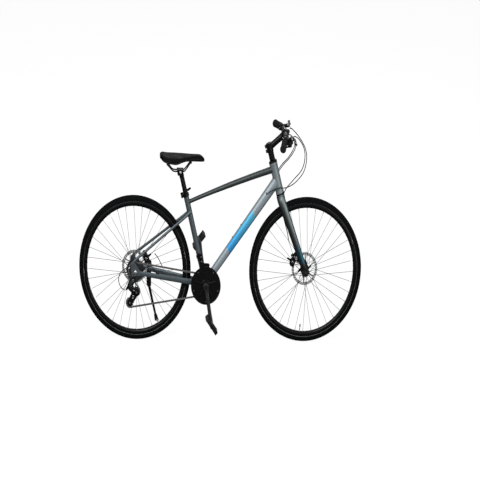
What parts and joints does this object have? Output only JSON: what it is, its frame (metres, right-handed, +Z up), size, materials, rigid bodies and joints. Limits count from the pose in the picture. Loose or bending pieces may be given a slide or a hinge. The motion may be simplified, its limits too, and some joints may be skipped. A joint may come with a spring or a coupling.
{
  "type": "hybrid city bicycle",
  "caption": "Rigid-fork hybrid bicycle with disc brakes, flat bar, triple crankset, derailleur gears and kickstand, standing leaned on its stand.",
  "frame": {"origin": "on the ground under the centre of the standing bicycle's bounding box", "axes": "+X forwards along the bicycle, +Y to its left, +Z up; the bicycle leans 8 degrees to its left, onto the kickstand"},
  "size_m": [1.7606, 0.5936, 1.02],
  "materials": {
    "frame_paint": "satin metallic grey-blue paint",
    "dark_frame_paint": "satin dark grey paint",
    "fork_paint": "satin grey to dark teal paint",
    "tyre_rubber": "matt black tyre rubber",
    "grip_rubber": "matt black rubber",
    "silver_metal": "bright bare steel",
    "black_plastic": "matt black plastic",
    "saddle_skin": "black grained synthetic leather over foam",
    "housing_skin": "black cable housing",
    "black_metal": "black anodised or painted alloy"
  },
  "bodies": {
    "frame": {"head_tube": "frame_paint", "top_tube": "dark_frame_paint", "down_tube": "frame_paint", "seat_tube": "frame_paint", "bottom_bracket_shell": "frame_paint", "left_rear_stays": "dark_frame_paint", "right_rear_stays": "dark_frame_paint", "seat_clamp": "black_metal", "seat_clamp_skewer": "black_metal", "rear_axle": "black_metal", "rear_caliper": "black_metal", "front_derailleur": "black_metal", "rear_derailleur": "black_metal", "chain": "silver_metal", "rear_brake_cable_end": "housing_skin", "rear_shift_cable_loop": "housing_skin"},
    "steering_assembly": {"fork": "fork_paint", "steerer_spacer": "black_metal", "stem": "black_metal", "handlebar": "black_metal", "left_grip": "grip_rubber", "right_grip": "grip_rubber", "left_brake_bracket": "black_metal", "right_brake_bracket": "black_metal", "left_shifter": "black_plastic", "right_shifter": "black_plastic", "front_axle": "black_metal", "front_caliper": "black_metal", "front_brake_cable": "housing_skin", "rear_brake_cable": "housing_skin", "front_shift_cable": "housing_skin", "rear_shift_cable": "housing_skin"},
    "front_wheel": {"front_tyre": "tyre_rubber", "front_rim": "black_metal", "front_hub_and_spokes": "silver_metal", "front_rotor": "silver_metal"},
    "rear_wheel": {"rear_tyre": "tyre_rubber", "rear_rim": "black_metal", "rear_hub_and_spokes": "silver_metal", "rear_rotor": "silver_metal"},
    "cranks": {"chainring_set": "black_metal", "right_crank": "black_metal", "left_crank": "black_metal"},
    "freewheel": {"freewheel": "silver_metal"},
    "guide_pulley": {"guide_pulley": "black_plastic"},
    "tension_pulley": {"tension_pulley": "black_plastic"},
    "right_pedal": {"right_pedal": "black_plastic"},
    "left_pedal": {"left_pedal": "black_plastic"},
    "left_brake_lever": {"left_brake_lever": "black_metal"},
    "right_brake_lever": {"right_brake_lever": "black_metal"},
    "left_shift_lever": {"left_shift_lever": "black_plastic"},
    "right_shift_lever": {"right_shift_lever": "black_plastic"},
    "front_caliper_arm": {"front_caliper_arm": "black_metal"},
    "rear_caliper_arm": {"rear_caliper_arm": "black_metal"},
    "kickstand": {"kickstand_leg": "black_metal"},
    "seatpost": {"seatpost": "black_metal"},
    "saddle": {"saddle_cushion": "saddle_skin", "saddle_rails": "black_metal"},
    "seat_clamp_lever": {"seat_clamp_lever": "black_metal"}
  },
  "joints": [
    {"name": "steering", "type": "hinge", "parent": "frame", "child": "steering_assembly", "pos_m": [0.3391, -0.01449, 0.77616], "axis": [-0.3202, 0.1318, 0.9381], "range_deg": [-55, 55], "deforming": ["rear_brake_cable", "front_shift_cable", "rear_shift_cable"]},
    {"name": "front_wheel_spin", "type": "hinge", "parent": "steering_assembly", "child": "front_wheel", "pos_m": [0.5315, -0.07497, 0.34579], "axis": [0, 0.9903, -0.1392], "continuous": true},
    {"name": "rear_wheel_spin", "type": "hinge", "parent": "frame", "child": "rear_wheel", "pos_m": [-0.5315, -0.07497, 0.34579], "axis": [0, 0.9903, -0.1392], "continuous": true},
    {"name": "crank_spin", "type": "hinge", "parent": "frame", "child": "cranks", "pos_m": [-0.0915, -0.08402, 0.28142], "axis": [0, 0.9903, -0.1392], "continuous": true},
    {"name": "freewheel_spin", "type": "hinge", "parent": "frame", "child": "freewheel", "pos_m": [-0.5315, -0.07497, 0.34579], "axis": [0, 0.9903, -0.1392], "continuous": true},
    {"name": "guide_pulley_spin", "type": "hinge", "parent": "frame", "child": "guide_pulley", "pos_m": [-0.5275, -0.12985, 0.25353], "axis": [0, 0.9903, -0.1392], "continuous": true},
    {"name": "tension_pulley_spin", "type": "hinge", "parent": "frame", "child": "tension_pulley", "pos_m": [-0.5685, -0.13792, 0.19609], "axis": [0, 0.9903, -0.1392], "continuous": true},
    {"name": "right_pedal_spin", "type": "hinge", "parent": "cranks", "child": "right_pedal", "pos_m": [-0.05964, -0.18867, 0.12236], "axis": [0, 0.9903, -0.1392], "continuous": true},
    {"name": "left_pedal_spin", "type": "hinge", "parent": "cranks", "child": "left_pedal", "pos_m": [-0.12336, 0.02064, 0.44048], "axis": [0, 0.9903, -0.1392], "continuous": true},
    {"name": "left_brake_pull", "type": "hinge", "parent": "steering_assembly", "child": "left_brake_lever", "pos_m": [0.41593, 0.16136, 0.96172], "axis": [-0.1737, 0.1954, 0.9652], "range_deg": [0, 18], "stiffness_Nm_per_rad": 0.6, "springref_deg": -5.73},
    {"name": "left_shift", "type": "hinge", "parent": "steering_assembly", "child": "left_shift_lever", "pos_m": [0.40362, 0.1253, 0.92692], "axis": [0.1737, -0.1954, -0.9652], "range_deg": [-25, 0], "stiffness_Nm_per_rad": 0.1, "springref_deg": 5.73},
    {"name": "right_brake_pull", "type": "hinge", "parent": "steering_assembly", "child": "right_brake_lever", "pos_m": [0.41593, -0.13238, 1.003], "axis": [0.1737, -0.0783, -0.9817], "range_deg": [0, 18], "stiffness_Nm_per_rad": 0.6, "springref_deg": -5.73},
    {"name": "right_shift", "type": "hinge", "parent": "steering_assembly", "child": "right_shift_lever", "pos_m": [0.40362, -0.10731, 0.95961], "axis": [-0.1737, 0.0783, 0.9817], "range_deg": [-25, 0], "stiffness_Nm_per_rad": 0.1, "springref_deg": 5.73},
    {"name": "front_caliper_pull", "type": "hinge", "parent": "steering_assembly", "child": "front_caliper_arm", "pos_m": [0.45602, -0.02219, 0.37073], "axis": [0, 0.9903, -0.1392], "range_deg": [0, 12.6]},
    {"name": "rear_caliper_pull", "type": "hinge", "parent": "frame", "child": "rear_caliper_arm", "pos_m": [-0.4591, -0.01337, 0.376], "axis": [0, 0.9903, -0.1392], "range_deg": [0, 12.6]},
    {"name": "kickstand_fold", "type": "hinge", "parent": "frame", "child": "kickstand", "pos_m": [-0.4435, -0.02073, 0.25031], "axis": [-0.1694, 0.9843, 0.0493], "range_deg": [0, 116]},
    {"name": "seatpost_slide", "type": "slide", "parent": "frame", "child": "seatpost", "axis": [-0.278, 0.1337, 0.9512], "range_m": [-0.071, 0.1]},
    {"name": "saddle_tilt", "type": "hinge", "parent": "seatpost", "child": "saddle", "pos_m": [-0.246, -0.01102, 0.80082], "axis": [0, 0.9903, -0.1392], "range_deg": [-10, 10]},
    {"name": "seat_clamp_open", "type": "hinge", "parent": "frame", "child": "seat_clamp_lever", "pos_m": [-0.23582, -0.00886, 0.68546], "axis": [-0.278, 0.1337, 0.9512], "range_deg": [0, 120]}
  ],
  "couplings": [
    {"joint": "freewheel_spin", "follows": "crank_spin", "ratio": 1.2},
    {"joint": "guide_pulley_spin", "follows": "crank_spin", "ratio": -2.1818},
    {"joint": "tension_pulley_spin", "follows": "crank_spin", "ratio": 2.1818},
    {"joint": "front_caliper_pull", "follows": "right_brake_pull", "ratio": 0.7},
    {"joint": "rear_caliper_pull", "follows": "left_brake_pull", "ratio": 0.7}
  ]
}
